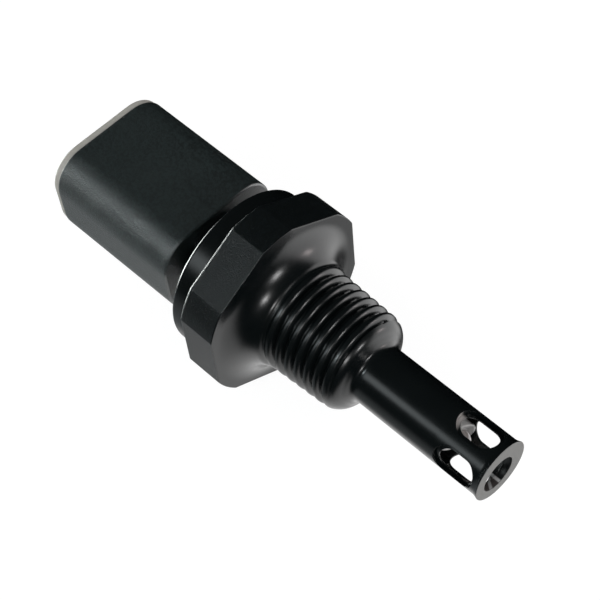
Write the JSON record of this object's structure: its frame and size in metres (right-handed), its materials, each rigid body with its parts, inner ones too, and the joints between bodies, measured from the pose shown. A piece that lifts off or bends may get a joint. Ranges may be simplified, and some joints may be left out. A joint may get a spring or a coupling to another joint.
{
  "type": "air temperature sensor",
  "caption": "Screw-in air temperature sensor: open cage tip on a thin probe, tapered thread, hexagon with flange, rounded-rectangular connector socket.",
  "frame": {"origin": "on the axis of the thread, in the plane of the hexagon's front face, where the thread starts", "axes": "+X along the axis of the thread towards the cage tip, +Z square to the connector's wide side, +Y across the connector's width"},
  "size_m": [0.0679, 0.024, 0.0254],
  "materials": {
    "gloss_black_plastic": "glossy black moulded plastic",
    "satin_black_plastic": "satin black moulded plastic",
    "pale_grey_plastic": "pale warm-grey moulded plastic",
    "carrier_plastic": "dark insulating plastic",
    "tinned_contact": "tin-plated copper alloy",
    "tinned_lead": "tinned wire",
    "sleeve_plastic": "translucent white insulating sleeve",
    "potting_resin": "cured grey resin",
    "bead_epoxy": "glossy beige resin bead",
    "seal_rubber": "black rubber"
  },
  "bodies": {
    "root": {"probe_body": "gloss_black_plastic", "connector_shell": "satin_black_plastic", "connector_liner": "pale_grey_plastic", "terminal_carrier": "carrier_plastic", "terminal_left": "tinned_contact", "terminal_right": "tinned_contact", "lead_left": "tinned_lead", "lead_right": "tinned_lead", "sleeve_left": "sleeve_plastic", "sleeve_right": "sleeve_plastic", "tip_potting": "potting_resin", "rear_potting": "potting_resin", "thermistor_bead": "bead_epoxy", "neck_seal_ring": "seal_rubber"}
  },
  "joints": []
}
